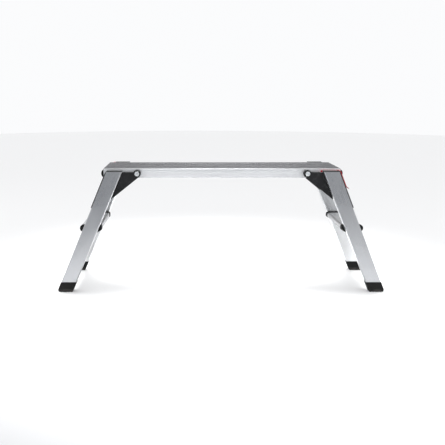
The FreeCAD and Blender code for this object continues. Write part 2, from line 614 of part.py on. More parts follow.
def brace_panel(label, turn):
    """Folded sheet across the backs of both legs; its top flange takes the stop pads under the rails."""
    sheet_x = dim("brace_sheet") / math.cos(RAKE)
    low, high = dim("brace_bottom"), dim("leg_top") - 2
    fold = dim("brace_flange_top")
    body = new_body(label, turn)
    blank = [outer_edge(low), outer_edge(low, sheet_x), outer_edge(high, sheet_x), outer_edge(high)]
    add_layer(body, "Pad", [rounded(blank)], 0.0, "2 * Dimensions.leg_outer_face - 1")
    fold_bottom = fold - dim("brace_sheet")
    window = rectangle(440.0, fold_bottom, 520.0, high + 5)
    add_layer(body, "Pocket", [rounded(window)], 0.0, "2 * Dimensions.bracket_inner + 1")
    notch = rectangle(440.0, 468.0, 520.0, high + 5)
    add_layer(body, "Pocket", [rounded(notch)], 0.0, "2 * Dimensions.cheek_outer + 2")
    edge_x = outer_edge(fold, sheet_x)[0]
    flange_x = edge_x - dim("brace_flange_depth")
    flange = [(flange_x, fold_bottom), outer_edge(fold_bottom, sheet_x), (edge_x, fold, 1.5),
              (flange_x, fold)]
    add_layer(body, "Pad", [rounded(flange)], 0.0, "Dimensions.deck_width")
    centres = [(side * LEG_MIDDLE, height) for side in (-1, 1) for height in BRACE_RIVETS]
    face_pocket(body, centres, RIVET_HOLE, 12.0)
    pad_holes = [circle(dim("stop_pad_x"), side * dim("stop_pad_y"), 2.5) for side in (-1, 1)]
    add_layer(body, "Pocket", pad_holes, fold, "4 * Dimensions.brace_sheet", "XY_Plane")


def lock_lever(label, side, turn):
    """Pressed release lever: a back plate over the leg's outer edge and a cheek beside the bracket."""
    sheet_x = dim("brace_sheet") / math.cos(RAKE) + 0.3
    thick = dim("lock_sheet") / math.cos(RAKE)
    tip, low, high = dim("lever_tip"), dim("lever_bottom"), dim("lever_top")
    flare = outer_edge(tip, sheet_x)[0] + 7
    back_x = sheet_x + thick
    plate = [outer_edge(low, sheet_x), (flare, tip), (flare + thick, tip + 0.8), outer_edge(low + 1, back_x),
             outer_edge(high, back_x) + (2.0,), outer_edge(high, sheet_x)]
    body = new_body(label, turn)
    plate_outer = LEG_OUTER - 0.7
    add_layer(body, "Pad", [rounded(plate)], side * (dim("cheek_inner") + plate_outer) / 2,
              "Dimensions.leg_outer_face - 0.7 - Dimensions.cheek_inner")
    cheek_top = 493.5
    hook = [(386.5, 488.9), (388.5, 496.0, 1.0), (391.0, 496.0, 1.0), (393.0, cheek_top)]
    back = [outer_edge(cheek_top, -6), outer_edge(high - 1, sheet_x - 2), outer_edge(high - 1, sheet_x + 1),
            outer_edge(470.0, sheet_x + 1)]
    belly = [(441.0, 470.0, 2.0), (434.0, 456.5, 2.0), (425.0, 456.5, 2.0), (412.0, 474.0, 3.0),
             (404.0, 488.9, 2.0)]
    cheek_depth = "Dimensions.cheek_outer - Dimensions.cheek_inner"
    cheek_middle = side * (dim("cheek_inner") + dim("cheek_outer")) / 2
    add_layer(body, "Pad", [rounded(hook + back + belly)], cheek_middle, cheek_depth)
    tooth = [(407.5, 491.5, 1.0), (417.0, 491.5, 1.0), (417.0, 477.0, 1.0), (407.5, 477.0, 3.0)]
    add_layer(body, "Pad", [rounded(tooth)], side * 107.5, "13")
    seat_x = SPRING_ENDS[0]
    spring_seat = rectangle(seat_x - 3.5, SPRING_HEIGHT - 5, seat_x, SPRING_HEIGHT + 5)
    add_layer(body, "Pad", [rounded(spring_seat)], side * 108.5, "13")
    gap = dim("guide_pin_radius") + 0.3
    slots = []
    for x, z in GUIDE_PINS:
        slot = rectangle(x - dim("lock_travel") - gap, z - gap, x + gap, z + gap)
        slots.append(rounded([corner + (gap * 0.98,) for corner in slot]))
    add_layer(body, "Pocket", slots, cheek_middle, "3 * (%s)" % cheek_depth)


def lock_spring(label, side, turn):
    """Compression spring that pushes the lever home."""
    start, end = SPRING_ENDS
    wire = dim("spring_wire")
    turns = dim("spring_turns")
    radius = dim("spring_radius")
    length = end - start - 2 * wire - 0.2
    helix = Part.makeHelix(length / turns, length, radius)
    profile = Part.Wire(Part.makeCircle(wire, Vector(radius, 0, 0), Vector(0, 1, 0)))
    coil = Part.Wire(helix).makePipeShell([profile], True, True)
    feature = doc.addObject("Part::Feature", label)
    feature.Label = label
    feature.Shape = coil
    coil_end = Vector(start + wire + 0.1, side * SPRING_MIDDLE, SPRING_HEIGHT)
    feature.Placement = turn.multiply(Placement(coil_end, Rotation(Vector(0, 1, 0), 90)))
    SUBPARTS.append(feature)


bush_length = "Dimensions.bracket_outer - Dimensions.bracket_inner"
bush_tube = cylinder("bush_tube", "Dimensions.bush_radius", bush_length, dim("bracket_inner"))
bush_bore = cylinder("bush_inside", "Dimensions.bush_bore", "30", dim("bracket_inner") - 5)
bush = doc.addObject("Part::Cut", "pivot_bush")
bush.Base = bush_tube
bush.Tool = bush_bore
doc.recompute()
leg_skin = LEG_INNER + dim("leg_wall")
rivet_seat = dim("bracket_outer")
bracket_rivet = revolved("bracket_rivet", [
    (0, rivet_seat - 1.3), (head * 0.6, rivet_seat - 1.3), (head, rivet_seat), (shank, rivet_seat),
    (shank, leg_skin), (tail, leg_skin), (tail, leg_skin + 1.5), (0, leg_skin + 2.2)])
screw_tip, screw_radius = 96.0, dim("tread_screw_radius") - 0.1
tread_screw = revolved("tread_screw", [
    (0, screw_tip), (screw_radius - 0.7, screw_tip), (screw_radius, screw_tip + 1.5), (screw_radius, leg_skin),
    (5.2, leg_skin), (4.6, leg_skin + 2.8), (0, leg_skin + 3.2)])
brace_skin, brace_grip = dim("brace_sheet"), -2.3
brace_rivet = revolved("brace_rivet", [
    (0, brace_skin + 1.4), (head * 0.6, brace_skin + 1.3), (head, brace_skin), (shank, brace_skin),
    (shank, brace_grip), (tail, brace_grip), (tail, brace_grip - 1.3), (0, brace_grip - 1.9)])
pin_radius, pin_seat, pin_end = dim("guide_pin_radius"), 112.7, 121.5
guide_pin = revolved("guide_pin", [
    (0, pin_seat - 1.3), (3.6, pin_seat - 1.3), (4.0, pin_seat - 0.9), (4.0, pin_seat), (pin_radius, pin_seat),
    (pin_radius, pin_end), (0, pin_end)])
pad_base, pad_top = dim("brace_flange_top"), RAIL_BOTTOM - 0.2
stop_pad = revolved("stop_pad", [
    (0, pad_base - 4.0), (2.3, pad_base - 4.0), (3.4, pad_base - 3.2), (2.4, pad_base - 3.0), (2.4, pad_base),
    (7.0, pad_base), (7.0, pad_top - 0.7), (6.2, pad_top), (0, pad_top)])


def leg_frame(hand, turn, names):
    """Every piece of one folding frame. names gives the floor side that each drawn side (-1, 1) ends up on."""
    for side in (-1, 1):
        prefix = "%s_%s_" % (hand, names[side])
        leg(prefix + "leg", side, turn)
        leg_foot(prefix + "foot", side, turn)
        leg_top_cap(prefix + "leg_cap", side, turn)
        hinge_bracket(prefix + "hinge_bracket", side, turn, side == -1)
        tread_cap(prefix + "tread_cap", side, turn)
    tread(hand + "_tread", turn)
    brace_panel(hand + "_brace_panel", turn)
    lock_lever(hand + "_lock_lever", -1, turn)
    lock_spring(hand + "_lock_spring", -1, turn)

    def turned(places):
        """Places moved to this frame's end of the deck."""
        return [turn.multiply(place) for place in places]

    sides = (-1, 1)
    bush_places = [across(PIVOT[0], PIVOT[1], side) for side in sides]
    group(hand + "_pivot_bushes", bush, turned(bush_places))
    bracket_places = [across(x, z, side) for x, z in BRACKET_RIVETS for side in sides]
    group(hand + "_bracket_rivets", bracket_rivet, turned(bracket_places))
    screw_places = [across(x, z, side) for x, z in TREAD_SCREWS for side in sides]
    group(hand + "_tread_screws", tread_screw, turned(screw_places))
    square = Rotation(Vector(0, 1, 0), 90 - math.degrees(RAKE))
    rivet_places = [Placement(Vector(outer_edge(height)[0], side * LEG_MIDDLE, height), square)
                    for height in BRACE_RIVETS for side in sides]
    group(hand + "_brace_rivets", brace_rivet, turned(rivet_places))
    group(hand + "_lock_guide_pins", guide_pin, turned([across(x, z, -1) for x, z in GUIDE_PINS]))
    pad_places = [Placement(Vector(dim("stop_pad_x"), side * dim("stop_pad_y"), 0), Rotation())
                  for side in sides]
    group(hand + "_stop_pads", stop_pad, turned(pad_places))


leg_frame("right", Placement(), {-1: "near", 1: "far"})
leg_frame("left", HALF_TURN, {-1: "far", 1: "near"})

# ---------------------------------------------------------------- checks and output
doc.recompute()
for item in doc.Objects:
    if "Invalid" in item.State or "Error" in item.State:
        raise RuntimeError("%s did not build: %s" % (item.Label, item.State))
for item in SUBPARTS:
    if item.Shape.isNull() or not item.Shape.isValid():
        raise RuntimeError("%s has no valid shape" % item.Label)

os.makedirs("parts", exist_ok=True)
for item in SUBPARTS:
    item.Shape.exportStep("parts/%s.step" % item.Label)
print("%d sub-parts written" % len(SUBPARTS))
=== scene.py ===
"""Looks for the folding work platform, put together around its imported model.

Metres; X along the deck, Y across it, Z up, origin on the floor under the deck's middle.
"""

import math

import bmesh
import bpy
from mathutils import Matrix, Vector


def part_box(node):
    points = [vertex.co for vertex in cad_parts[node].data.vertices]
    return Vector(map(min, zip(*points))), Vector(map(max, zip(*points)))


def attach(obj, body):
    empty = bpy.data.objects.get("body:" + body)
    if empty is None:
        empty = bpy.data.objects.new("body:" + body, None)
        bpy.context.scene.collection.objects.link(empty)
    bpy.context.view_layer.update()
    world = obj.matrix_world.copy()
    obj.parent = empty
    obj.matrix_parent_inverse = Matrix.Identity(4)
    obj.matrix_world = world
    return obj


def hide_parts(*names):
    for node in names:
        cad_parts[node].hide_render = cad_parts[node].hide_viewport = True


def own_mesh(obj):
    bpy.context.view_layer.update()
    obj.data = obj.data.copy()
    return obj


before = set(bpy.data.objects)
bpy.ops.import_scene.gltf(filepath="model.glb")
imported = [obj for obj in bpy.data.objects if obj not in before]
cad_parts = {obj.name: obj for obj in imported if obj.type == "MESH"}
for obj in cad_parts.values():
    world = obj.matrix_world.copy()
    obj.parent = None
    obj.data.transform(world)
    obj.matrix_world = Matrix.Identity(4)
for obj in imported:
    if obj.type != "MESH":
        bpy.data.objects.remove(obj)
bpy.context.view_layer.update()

# ---------------------------------------------------------------- studio
# A pale paper floor with painted shade well in front of the platform, where the upper legs reflect it.
# A soft lamp hangs overhead, with a soft strip at each side and even pale surroundings.


class Wire:
    """One shader socket that can be used in arithmetic."""

    def __init__(self, finish, socket):
        self.finish = finish
        self.socket = socket

    def math(self, operation, *values):
        """A Math node on the given values."""
        return self.finish.node("ShaderNodeMath", {"operation": operation}, dict(enumerate(values)))

    def __add__(self, other):
        return self.math("ADD", self, other)

    def __sub__(self, other):
        return self.math("SUBTRACT", self, other)

    def __mul__(self, other):
        return self.math("MULTIPLY", self, other)

    __radd__ = __add__
    __rmul__ = __mul__

    def wave(self, per_metre):
        """A wave from -1 to 1, with so many crests to the metre of this value."""
        return self.math("SINE", self * (2 * math.pi * per_metre))


class Finish:
    """A material for one finish, built from nodes."""

    def __init__(self, name, **fixed):
        self.material = bpy.data.materials.new(name)
        self.material.use_nodes = True
        self.tree = self.material.node_tree
        self.shader = self.tree.nodes["Principled BSDF"]
        for socket, value in fixed.items():
            self.shader.inputs[socket.replace("_", " ")].default_value = value
        self.place = self.node("ShaderNodeTexCoord", {}, {}, "Object")

    def node(self, kind, settings, inputs, output=0):
        """Adds a node with its settings and inputs, and returns one output, or a list of them."""
        made = self.tree.nodes.new(kind)
        for name, value in settings.items():
            setattr(made, name, value)
        for name, value in inputs.items():
            if isinstance(value, Wire):
                self.tree.links.new(value.socket, made.inputs[name])
            else:
                made.inputs[name].default_value = value
        if isinstance(output, (list, tuple)):
            return [Wire(self, made.outputs[each]) for each in output]
        return Wire(self, made.outputs[output])

    def axes(self):
        """X, Y and Z of the point on the piece."""
        return self.node("ShaderNodeSeparateXYZ", {}, {0: self.place}, (0, 1, 2))

    def vector(self, x, y, z):
        """Three values as one vector."""
        return self.node("ShaderNodeCombineXYZ", {}, {0: x, 1: y, 2: z})

    def noise(self, per_metre, detail=3.0, roughness=0.5, at=None):
        """Cloudy noise around 0.5, with so many features to the metre."""
        inputs = {"Vector": at or self.place, "Scale": per_metre, "Detail": detail, "Roughness": roughness}
        return self.node("ShaderNodeTexNoise", {}, inputs, "Fac")

    def span(self, value, low, high, to_low=0.0, to_high=1.0):
        """The part of the value between low and high stretched over a new span, and held inside it."""
        inputs = {"Value": value, "From Min": low, "From Max": high, "To Min": to_low, "To Max": to_high}
        return self.node("ShaderNodeMapRange", {"clamp": True}, inputs, "Result")

    def blend(self, factor, first, second):
        """The first colour where the factor is 0 and the second where it is 1."""
        return self.node("ShaderNodeMix", {"data_type": "RGBA"}, {0: factor, 6: first, 7: second}, 2)

    def feed(self, **links):
        """Links wires to the shader's sockets; an underscore stands for a space."""
        for name, wire in links.items():
            self.tree.links.new(wire.socket, self.shader.inputs[name.replace("_", " ")])

    def bump(self, height, rise, strength=1.0):
        """Raises the surface by the height, of which 1 stands for rise metres."""
        inputs = {"Height": height, "Distance": rise, "Strength": strength}
        self.feed(Normal=self.node("ShaderNodeBump", {}, inputs))


def colour(red, green, blue, times=1.0):
    """A linear colour with its alpha, darkened or lightened."""
    return (min(red * times, 1.0), min(green * times, 1.0), min(blue * times, 1.0), 1.0)


FLOOR_REACH = 9.0
FLOOR_PALE = colour(0.92, 0.92, 0.92)
FLOOR_SHADED = colour(0.40, 0.413, 0.435)
SHADE_STARTS = -0.85
SHADE_FULL = -1.95
SHADE_SKEW = 0.36

floor_mesh = bpy.data.meshes.new("floor_sheet")
floor_shape = bmesh.new()
bmesh.ops.create_circle(floor_shape, cap_ends=True, segments=96, radius=FLOOR_REACH)
floor_shape.to_mesh(floor_mesh)
floor_shape.free()
floor = bpy.data.objects.new("floor_sheet", floor_mesh)
bpy.context.collection.objects.link(floor)
floor_finish = Finish("pale floor paper", Roughness=0.8, Specular_IOR_Level=0.2)
floor_x, floor_y, _ = floor_finish.axes()
# Painted shade: the floor is painted grey in front of the platform, skewed darker to the left.
shade = floor_finish.span(floor_y + floor_x * SHADE_SKEW, SHADE_STARTS, SHADE_FULL)
fibre = floor_finish.noise(220.0, 3.0)
floor_finish.feed(
    Base_Color=floor_finish.blend(shade, FLOOR_PALE, FLOOR_SHADED),
    Roughness=floor_finish.span(fibre, 0.3, 0.7, 0.76, 0.84),
)
floor_mesh.materials.append(floor_finish.material)

PLATFORM_MIDDLE = Vector((0.0, 0.0, 0.3))


def soft_lamp(name, place, width, height, power, spread=180):
    """Rectangular lamp that faces the platform, with its beam held to spread degrees."""
    data = bpy.data.lights.new(name, "AREA")
    data.shape = "RECTANGLE"
    data.size = width
    data.size_y = height
    data.energy = power
    data.spread = math.radians(spread)
    lamp = bpy.data.objects.new(name, data)
    lamp.location = place
    lamp.rotation_euler = (PLATFORM_MIDDLE - Vector(place)).to_track_quat("-Z", "Y").to_euler()
    bpy.context.collection.objects.link(lamp)


soft_lamp("overhead_softbox", (0.0, 0.35, 1.9), width=0.9, height=1.0, power=14, spread=60)
soft_lamp("left_strip", (-2.6, 0.4, 1.5), width=0.7, height=1.8, power=5)
soft_lamp("right_strip", (2.6, -0.9, 1.5), width=0.7, height=1.8, power=9)

world = bpy.data.worlds.new("pale_surroundings")
world.use_nodes = True
surroundings = world.node_tree.nodes["Background"]
surroundings.inputs["Color"].default_value = colour(0.985, 0.99, 1.0)
surroundings.inputs["Strength"].default_value = 0.98
bpy.context.scene.world = world
bpy.context.scene.view_settings.view_transform = "Standard"

CAMERA_PLACE = (-0.1358, -2.18375, 0.7966)
CAMERA_DOWN, CAMERA_TURN = 13.91, -0.09
LENS_MM, SENSOR_MM, FRAME_SHIFT = 42.83, 36.0, 0.0762

camera_data = bpy.data.cameras.new("camera")
camera_data.sensor_width = SENSOR_MM
camera_data.lens = LENS_MM
camera_data.shift_x = FRAME_SHIFT
camera = bpy.data.objects.new("camera", camera_data)
camera.location = CAMERA_PLACE
camera.rotation_euler = (math.radians(90 - CAMERA_DOWN), 0.0, math.radians(CAMERA_TURN))
bpy.context.collection.objects.link(camera)
bpy.context.scene.camera = camera

# ---------------------------------------------------------------- side rails
# The near and far rails are thin-walled aluminium extrusions, anodised pale silver. The die leaves
# fine lines along them, and their top lips carry a painted shade, as dark as the deck between them.

WELD_REACH = 2e-6
FLAT_DEGREES = 0.4
SHARP_DEGREES = 32
DIE_LINES_PER_METRE = 1100.0
DIE_LINE_RISE = 0.00002
LENGTHWISE, CROSSWISE, UPWARD = {"x": 1}, {"y": 1}, {"z": 1}


def ending(*endings):
    """The names of the model's nodes that end in one of these ways."""
    return [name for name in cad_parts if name.endswith(endings)]


def dress(nodes, finish, edge=0.0, segments=2):
    """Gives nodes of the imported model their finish, and rounds their sharp edges by edge metres."""
    for name in nodes:
        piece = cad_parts[name]
        piece.data.materials.clear()
        piece.data.materials.append(finish.material)
        if not edge:
            continue
        weld = piece.modifiers.new("weld", "WELD")
        weld.merge_threshold = WELD_REACH
        flat = piece.modifiers.new("flat", "DECIMATE")
        flat.decimate_type = "DISSOLVE"
        flat.angle_limit = math.radians(FLAT_DEGREES)
        rounded = piece.modifiers.new("rounded", "BEVEL")
        rounded.width = edge
        rounded.segments = segments
        rounded.limit_method = "ANGLE"
        rounded.angle_limit = math.radians(SHARP_DEGREES)
        rounded.harden_normals = True


def drawn_metal(name, tint, length, across, off, roughness, metallic, spread):
    """Aluminium from a die, whose lines run the way length does. spread is how far its tone wanders."""
    finish = Finish(name, Metallic=metallic)
    x, y, z = finish.axes()
    point = {"x": x, "y": y, "z": z}
    ways = (length, across, off)
    lay, wide, deep = (sum(share * point[axis] for axis, share in way.items()) for way in ways)
    stretched = finish.vector(lay * 1.5, wide * DIE_LINES_PER_METRE, deep * DIE_LINES_PER_METRE)
    lines = finish.noise(1.0, 4.0, 0.6, stretched)
    cloud = finish.noise(6.0, 4.0, 0.55)
    fleck = finish.noise(1400.0, 2.0)
    tone = finish.span(lines * 0.5 + cloud * 0.38 + fleck * 0.12, 0.37, 0.63)
    finish.tone = finish.blend(tone, colour(*tint, 1 - spread), colour(*tint, 1 + spread))
    finish.feed(
        Base_Color=finish.tone,
        Roughness=finish.span(lines * 0.4 + cloud * 0.6, 0.32, 0.68, roughness - 0.06, roughness + 0.06),
    )
    finish.bump(lines + fleck * 0.3, DIE_LINE_RISE, 0.5)
    return finish


LIP_START, LIP_TOP = 0.4993, 0.4998
RAIL_SILVER = (0.685, 0.695, 0.712)
LIP_PAINTED_SHADE = colour(0.12, 0.121, 0.126)
RAIL_EDGE = 0.0003

rail_finish = drawn_metal(
    "rail, pale anodised", RAIL_SILVER, LENGTHWISE, UPWARD, CROSSWISE,
    roughness=0.45, metallic=0.45, spread=0.03,
)
_, _, rail_z = rail_finish.axes()
# Painted shade: the top lip of each rail is painted as dark as the deck.
lip_painted_shade = rail_finish.span(rail_z, LIP_START, LIP_TOP)
rail_finish.feed(Base_Color=rail_finish.blend(lip_painted_shade, rail_finish.tone, LIP_PAINTED_SHADE))
dress(("near_side_rail", "far_side_rail"), rail_finish, RAIL_EDGE)

# ---------------------------------------------------------------- deck planks
# Three hollow planks slide together between the rails. Their ribs are rolled with fine teeth for grip;
# shoes polish the tops of the ribs, and the grooves between them carry a painted shade, flecked lighter by
# dust.

RIB_FOOT, RIB_CREST = 0.4992, 0.4998
TEETH_PER_METRE = 420.0
TOOTH_RISE = 0.00025
STREAKS_PER_METRE = 700.0
PLANK_EDGE = 0.00012
# The groove colour is a painted shade; the dust colour is lighter.
GROOVE_PAINTED_SHADE, GROOVE_DUST = colour(0.038, 0.0385, 0.041), colour(0.065, 0.065, 0.066)
RIB_GREY, RIB_POLISH = colour(0.10, 0.101, 0.106), colour(0.165, 0.167, 0.174)

plank_finish = Finish("plank, ribbed dark anodised", Metallic=0.6)
plank_x, plank_y, plank_z = plank_finish.axes()
rib = plank_finish.span(plank_z, RIB_FOOT, RIB_CREST)
scuff = plank_finish.noise(26.0, 5.0, 0.6)
plank_lay = plank_finish.vector(plank_x * 3.0, plank_y * STREAKS_PER_METRE, plank_z * STREAKS_PER_METRE)
streak = plank_finish.noise(1.0, 3.0, 0.6, plank_lay)
dust = plank_finish.noise(160.0, 4.0, 0.65)
worn = plank_finish.span(scuff * 0.35 + streak * 0.65, 0.4, 0.62) * rib
# Painted shade: the grooves between the ribs are painted dark, and dust flecks them lighter.
groove_shade_and_dust = plank_finish.blend(plank_finish.span(dust, 0.35, 0.7), GROOVE_PAINTED_SHADE, GROOVE_DUST)
rib_tone = plank_finish.blend(worn, RIB_GREY, RIB_POLISH)
teeth = plank_x.wave(TEETH_PER_METRE) * rib
plank_finish.feed(
    Base_Color=plank_finish.blend(rib, groove_shade_and_dust, rib_tone),
    Roughness=plank_finish.span(worn, 0.0, 1.0, 0.62, 0.42),
)
plank_finish.bump(teeth * 0.5 + dust * 0.2, TOOTH_RISE, 0.7)
dress(("near_deck_plank", "middle_deck_plank", "far_deck_plank"), plank_finish, PLANK_EDGE, 1)

# ---------------------------------------------------------------- cross members
# Five box sections across the underside carry the planks. They are left as they came from the die,
# duller than the rails, with handling marks.

MILL_GREY = (0.56, 0.57, 0.585)
MEMBER_EDGE = 0.0002

member_finish = drawn_metal(
    "cross member, mill finish", MILL_GREY, CROSSWISE, LENGTHWISE, UPWARD,
    roughness=0.5, metallic=0.9, spread=0.1,
)
dress(ending("cross_member"), member_finish, MEMBER_EDGE, 1)

# ---------------------------------------------------------------- moulded plastic parts
# The deck's end caps, the leg caps, the tread caps and the hinge brackets are moulded in black glass-filled
# nylon with a fine spark-eroded grain, which goes grey where hands and shoes rub it.

RUBBED_GREY = colour(0.11, 0.112, 0.118)
NYLON_SPECULAR = 0.17
CAP_GRAINS_PER_METRE, BRACKET_GRAINS_PER_METRE = 2600.0, 1500.0
GRAIN_RISE = 0.00006
CAP_BLACK, BRACKET_BLACK = (0.0085, 0.0088, 0.0095), (0.0145, 0.0148, 0.016)
MOULDED_EDGE, TREAD_CAP_EDGE = 0.0005, 0.0003


def moulded_plastic(name, tint, rub, grain_per_metre, roughness):
    """Grained moulding. rub is how far worn patches go towards grey."""
    finish = Finish(name, Specular_IOR_Level=NYLON_SPECULAR)
    grain = finish.noise(grain_per_metre, 3.0, 0.6)
    flow = finish.noise(18.0, 3.0, 0.5)
    wear = finish.span(finish.noise(55.0, 5.0, 0.65), 0.55, 0.75, 0.0, rub)
    mottle = finish.span(grain * 0.5 + flow * 0.5, 0.35, 0.65)
    base = finish.blend(mottle, colour(*tint, 0.8), colour(*tint, 1.25))
    finish.feed(
        Base_Color=finish.blend(wear, base, RUBBED_GREY),
        Roughness=finish.span(grain, 0.3, 0.7, roughness - 0.07, roughness + 0.1),
    )
    finish.bump(grain, GRAIN_RISE, 0.8)
    return finish


cap_finish = moulded_plastic(
    "cap, black grained nylon", CAP_BLACK,
    rub=0.1, grain_per_metre=CAP_GRAINS_PER_METRE, roughness=0.58,
)
dress(ending("deck_end_cap", "leg_cap"), cap_finish, MOULDED_EDGE)
dress(ending("tread_cap"), cap_finish, TREAD_CAP_EDGE)
bracket_finish = moulded_plastic(
    "bracket, black grained nylon", BRACKET_BLACK,
    rub=0.26, grain_per_metre=BRACKET_GRAINS_PER_METRE, roughness=0.52,
)
dress(ending("hinge_bracket"), bracket_finish, MOULDED_EDGE)

# ---------------------------------------------------------------- pivot bolts and small steel parts
# Hexagon-head shoulder bolts hold the brackets to the rails, over thrust washers and nuts. Like the rivets,
# screws and pins they are bright zinc-plated steel, with the rings of the lathe on their faces.

PIVOT_X, PIVOT_Z = 0.336, 0.482
RINGS_PER_METRE = 1500.0
RING_RISE = 0.00003
BOLT_ZINC, FASTENER_ZINC = (0.80, 0.825, 0.84), (0.78, 0.80, 0.81)
BOLT_EDGE = 0.0002


def zinc_plate(name, tint, roughness, ring_centre=None):
    """Bright zinc plate, with turned rings about an axis across the deck where one is given."""
    finish = Finish(name, Metallic=1.0)
    x, _, z = finish.axes()
    haze = finish.noise(300.0, 4.0, 0.6)
    crystal = finish.node("ShaderNodeTexVoronoi", {}, {"Vector": finish.place, "Scale": 1300.0}, "Distance")
    tone = finish.span(haze * 0.7 + crystal * 0.3, 0.3, 0.6)
    finish.feed(
        Base_Color=finish.blend(tone, colour(*tint, 0.86), colour(*tint, 1.06)),
        Roughness=finish.span(haze, 0.3, 0.7, roughness - 0.07, roughness + 0.08),
    )
    if ring_centre:
        off_x = x.math("ABSOLUTE", x) - ring_centre[0]
        off_z = z - ring_centre[1]
        radius = x.math("SQRT", off_x * off_x + off_z * off_z)
        finish.bump(radius.wave(RINGS_PER_METRE) * 0.5 + haze * 0.3, RING_RISE, 0.6)
    else:
        finish.bump(crystal, RING_RISE, 0.5)
    return finish


turned_finish = zinc_plate("pivot steel, bright zinc", BOLT_ZINC, 0.28, ring_centre=(PIVOT_X, PIVOT_Z))
dress(("pivot_bolts",), turned_finish, BOLT_EDGE)
dress(("pivot_nuts", "pivot_thrust_washers"), turned_finish)
plated_finish = zinc_plate("small parts, bright zinc", FASTENER_ZINC, 0.32)
dress(ending("rivets", "tread_screws", "guide_pins", "strikers"), plated_finish)

# ---------------------------------------------------------------- pivot bushes
# Each hinge bracket turns on its bolt through a bush of natural nylon, pressed into the boss.
# The nylon is waxy and slightly stained by grease.

NYLON_CREAM, GREASE_STAIN = colour(0.68, 0.66, 0.58), colour(0.42, 0.38, 0.3)
WAX_RISE = 0.00004

bush_finish = Finish("bush, natural nylon")
stain = bush_finish.noise(140.0, 4.0, 0.6)
bush_finish.feed(
    Base_Color=bush_finish.blend(bush_finish.span(stain, 0.4, 0.7), NYLON_CREAM, GREASE_STAIN),
    Roughness=bush_finish.span(stain, 0.3, 0.7, 0.32, 0.5),
)
bush_finish.bump(bush_finish.noise(900.0), WAX_RISE, 0.5)
dress(("right_pivot_bushes", "left_pivot_bushes"), bush_finish)

# ---------------------------------------------------------------- legs
# The four legs are rounded box extrusions, cut level at both ends and anodised satin silver. Their die
# lines follow the rake, and their inner faces are painted lighter than their outer faces, a painted light.
# The two frames' finishes are mirrored.

RAKE = math.atan(0.44)


def raked(hand):
    """The directions along a leg, across its face and off its face, for the frame on side 1 or -1."""
    cosine, sine = math.cos(RAKE), math.sin(RAKE)
    return {"z": cosine, "x": -hand * sine}, {"x": cosine, "z": hand * sine}, CROSSWISE


# Painted light: the legs' inner faces, towards the deck's middle, take a lighter painted tint than their
# outer faces.
PAINTED_LIGHT_FROM_Y, PAINTED_LIGHT_FULL_Y = 0.145, 0.126
OUTER_FACE_TINT, INNER_FACE_PAINTED_LIGHT = (0.405, 0.413, 0.43), colour(0.66, 0.67, 0.68)
LEG_EDGE = 0.0003

for hand, end in ((1, "right"), (-1, "left")):
    leg_finish = drawn_metal(
        end + " leg, satin anodised", OUTER_FACE_TINT, *raked(hand), roughness=0.3, metallic=1.0, spread=0.045
    )
    _, leg_y, _ = leg_finish.axes()
    # Painted light: lighter colour on the inner faces of the legs.
    inner_face_painted_light = leg_finish.span(leg_y.math("ABSOLUTE", leg_y), PAINTED_LIGHT_FROM_Y, PAINTED_LIGHT_FULL_Y)
    leg_finish.feed(Base_Color=leg_finish.blend(inner_face_painted_light, leg_finish.tone, INNER_FACE_PAINTED_LIGHT))
    dress((end + "_near_leg", end + "_far_leg"), leg_finish, LEG_EDGE, 1)

# ---------------------------------------------------------------- feet
# Rubber boots pushed over the legs' ends, moulded with a fine texture and dusty towards the sole.
# The stop pads under the rails are of the same rubber.

DUST_TOP = 0.016
PORE_RISE = 0.00008
RUBBER_EDGE = 0.0004
DUST_GREY = colour(0.13, 0.125, 0.115)
RUBBER_DARK, RUBBER_LIGHT = colour(0.005, 0.0051, 0.0053), colour(0.011, 0.0111, 0.0113)

foot_finish = Finish("foot, black rubber", Specular_IOR_Level=0.18)
_, _, foot_z = foot_finish.axes()
pores = foot_finish.noise(1900.0, 3.0, 0.6)
smear = foot_finish.noise(70.0, 5.0, 0.65)
dusty = foot_finish.span(foot_z, DUST_TOP, 0.0, 0.0, 0.7) * foot_finish.span(smear, 0.35, 0.65)
rubber = foot_finish.blend(foot_finish.span(pores, 0.3, 0.7), RUBBER_DARK, RUBBER_LIGHT)
foot_finish.feed(
    Base_Color=foot_finish.blend(dusty, rubber, DUST_GREY),
    Roughness=foot_finish.span(pores + dusty * 0.5, 0.3, 0.9, 0.55, 0.8),
)
foot_finish.bump(pores, PORE_RISE, 0.8)
dress(ending("foot", "stop_pads"), foot_finish, RUBBER_EDGE)

# ---------------------------------------------------------------- treads
# One ribbed step extrusion in each frame, screwed through its end caps to the legs. The tops of the
# ribs are coloured lighter than the rest of it, and a worn pattern lightens both.

CREST_FOOT, CREST_TOP = 0.2743, 0.2749
TREAD_LINES_PER_METRE = 900.0
TREAD_LINE_RISE = 0.00003
TREAD_EDGE = 0.00015
BODY_DULL, BODY_WORN = colour(0.40, 0.405, 0.415), colour(0.52, 0.525, 0.535)
CREST_DULL, CREST_WORN = colour(0.60, 0.61, 0.62), colour(0.80, 0.81, 0.82)

